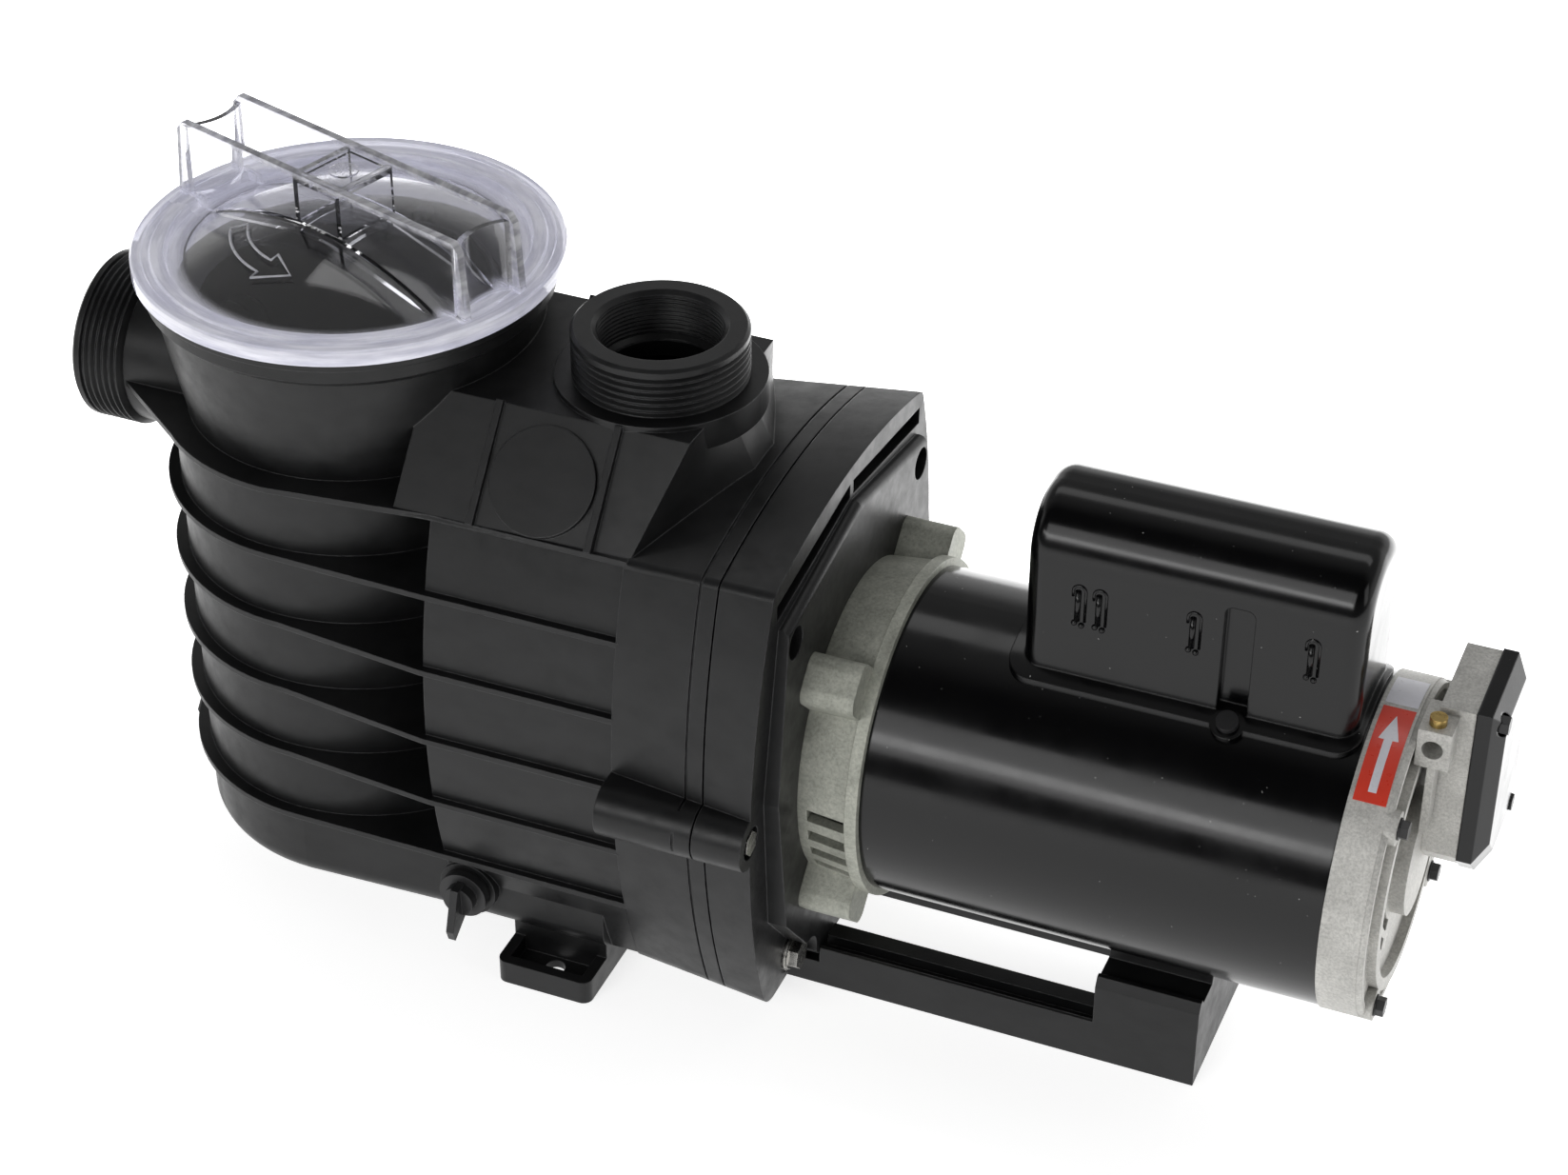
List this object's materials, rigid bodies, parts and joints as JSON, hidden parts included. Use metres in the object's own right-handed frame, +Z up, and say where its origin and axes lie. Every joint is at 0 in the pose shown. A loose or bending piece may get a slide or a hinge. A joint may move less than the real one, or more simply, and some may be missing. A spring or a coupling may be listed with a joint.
{
  "type": "swimming pool pump",
  "caption": "Self-priming swimming-pool pump: strainer pot with clear twist-off lid, ribbed pump casing with threaded ports, and an electric motor on a support rail.",
  "frame": {"origin": "on the ground plane, midway between the two foot-bolt holes", "axes": "+X along the motor shaft from strainer pot to motor, +Y towards the far side, +Z up out of the discharge port"},
  "size_m": [0.706, 0.256, 0.378],
  "materials": {
    "black_moulding": "glass-filled moulding, satin with a fine speckle",
    "clear_plastic": "clear polycarbonate with a faint lilac tint",
    "seal_rubber": "black nitrile, dull",
    "basket_plastic": "moulded, satin",
    "plug_plastic": "moulded, satin",
    "internal_plastic": "moulded, satin",
    "stainless": "stainless steel",
    "brass": "plain brass",
    "seal_ceramic": "lapped ceramic",
    "seal_metal": "stainless spring case",
    "cast_alloy": "sand-cast, matt and slightly green-grey",
    "motor_paint": "gloss black enamel",
    "core_steel": "plain steel",
    "copper": "enamelled copper wire",
    "black_fasteners": "black oxide",
    "capacitor_can": "black phenolic can",
    "cover_plastic": "gloss black moulding",
    "red_label": "printed film, red with a white arrow",
    "white_label": "plain white film"
  },
  "bodies": {
    "pump": {"pump_housing": "black_moulding", "discharge_port": "black_moulding", "suction_port": "black_moulding", "seal_plate": "black_moulding", "motor_support": "black_moulding", "housing_gasket": "seal_rubber", "diffuser_ring": "seal_rubber", "motor_pad": "seal_rubber", "diffuser": "internal_plastic", "seal_plate_bolts": "stainless", "adapter_bolts": "stainless", "support_screws": "stainless", "bolt_inserts": "brass", "ground_screw": "brass", "seal_seat": "seal_ceramic", "motor_adapter": "cast_alloy", "end_shield": "cast_alloy", "wiring_box": "cast_alloy", "motor_shell": "motor_paint", "capacitor_cover": "motor_paint", "stator_core": "core_steel", "front_bearing": "core_steel", "rear_bearing": "core_steel", "capacitor_clip": "core_steel", "stator_windings": "copper", "through_bolts": "black_fasteners", "cover_screws": "black_fasteners", "wiring_cover_screws": "black_fasteners", "capacitor": "capacitor_can", "wiring_cover": "cover_plastic", "terminal_board": "cover_plastic", "arrow_label": "red_label", "blank_label": "white_label"},
    "lid_lift": {"lid_ring": "seal_rubber"},
    "lid": {"lid": "clear_plastic"},
    "basket": {"strainer_basket": "basket_plastic"},
    "bail": {"basket_bail": "basket_plastic"},
    "front_plug_seal": {"front_drain_seal": "seal_rubber"},
    "front_plug": {"front_drain_plug": "plug_plastic"},
    "side_plug_seal": {"side_drain_seal": "seal_rubber"},
    "side_plug": {"side_drain_plug": "plug_plastic"},
    "rotor": {"motor_shaft": "stainless", "rotor": "core_steel", "motor_fan": "internal_plastic", "slinger": "seal_rubber", "seal_rotor": "seal_metal", "impeller": "internal_plastic", "impeller_screw": "stainless"}
  },
  "joints": [
    {"name": "shaft_spin", "type": "hinge", "parent": "pump", "child": "rotor", "pos_m": [0.2, 0, 0.1353], "axis": [1, 0, 0], "continuous": true},
    {"name": "lid_lift", "type": "slide", "parent": "pump", "child": "lid_lift", "axis": [0, 0, 1], "range_m": [0, 0.36]},
    {"name": "lid_turn", "type": "hinge", "parent": "lid_lift", "child": "lid", "pos_m": [-0.138, 0, 0.335], "axis": [0, 0, 1], "range_deg": [0, 90]},
    {"name": "basket_lift", "type": "slide", "parent": "pump", "child": "basket", "axis": [0, 0, 1], "range_m": [0, 0.29]},
    {"name": "bail_fold", "type": "hinge", "parent": "basket", "child": "bail", "pos_m": [-0.138, 0, 0.3125], "axis": [0, -1, 0], "range_deg": [0, 90]},
    {"name": "front_plug_travel", "type": "slide", "parent": "pump", "child": "front_plug_seal", "axis": [0, -1, 0], "range_m": [0, 0.0205]},
    {"name": "front_plug_turn", "type": "hinge", "parent": "front_plug_seal", "child": "front_plug", "pos_m": [-0.046, -0.092, 0.041], "axis": [0, -1, 0], "range_deg": [0, 2880]},
    {"name": "side_plug_travel", "type": "slide", "parent": "pump", "child": "side_plug_seal", "axis": [-1, 0, 0], "range_m": [0, 0.0205]},
    {"name": "side_plug_turn", "type": "hinge", "parent": "side_plug_seal", "child": "side_plug", "pos_m": [-0.231, 0, 0.041], "axis": [-1, 0, 0], "range_deg": [0, 2880]}
  ],
  "couplings": [
    {"joint": "basket_lift", "follows": "lid_lift", "ratio": 0.8},
    {"joint": "bail_fold", "follows": "lid_lift", "rad_per_m": 4.36},
    {"joint": "front_plug_travel", "follows": "front_plug_turn", "m_per_rad": 0.00040425},
    {"joint": "side_plug_travel", "follows": "side_plug_turn", "m_per_rad": 0.00040425}
  ]
}
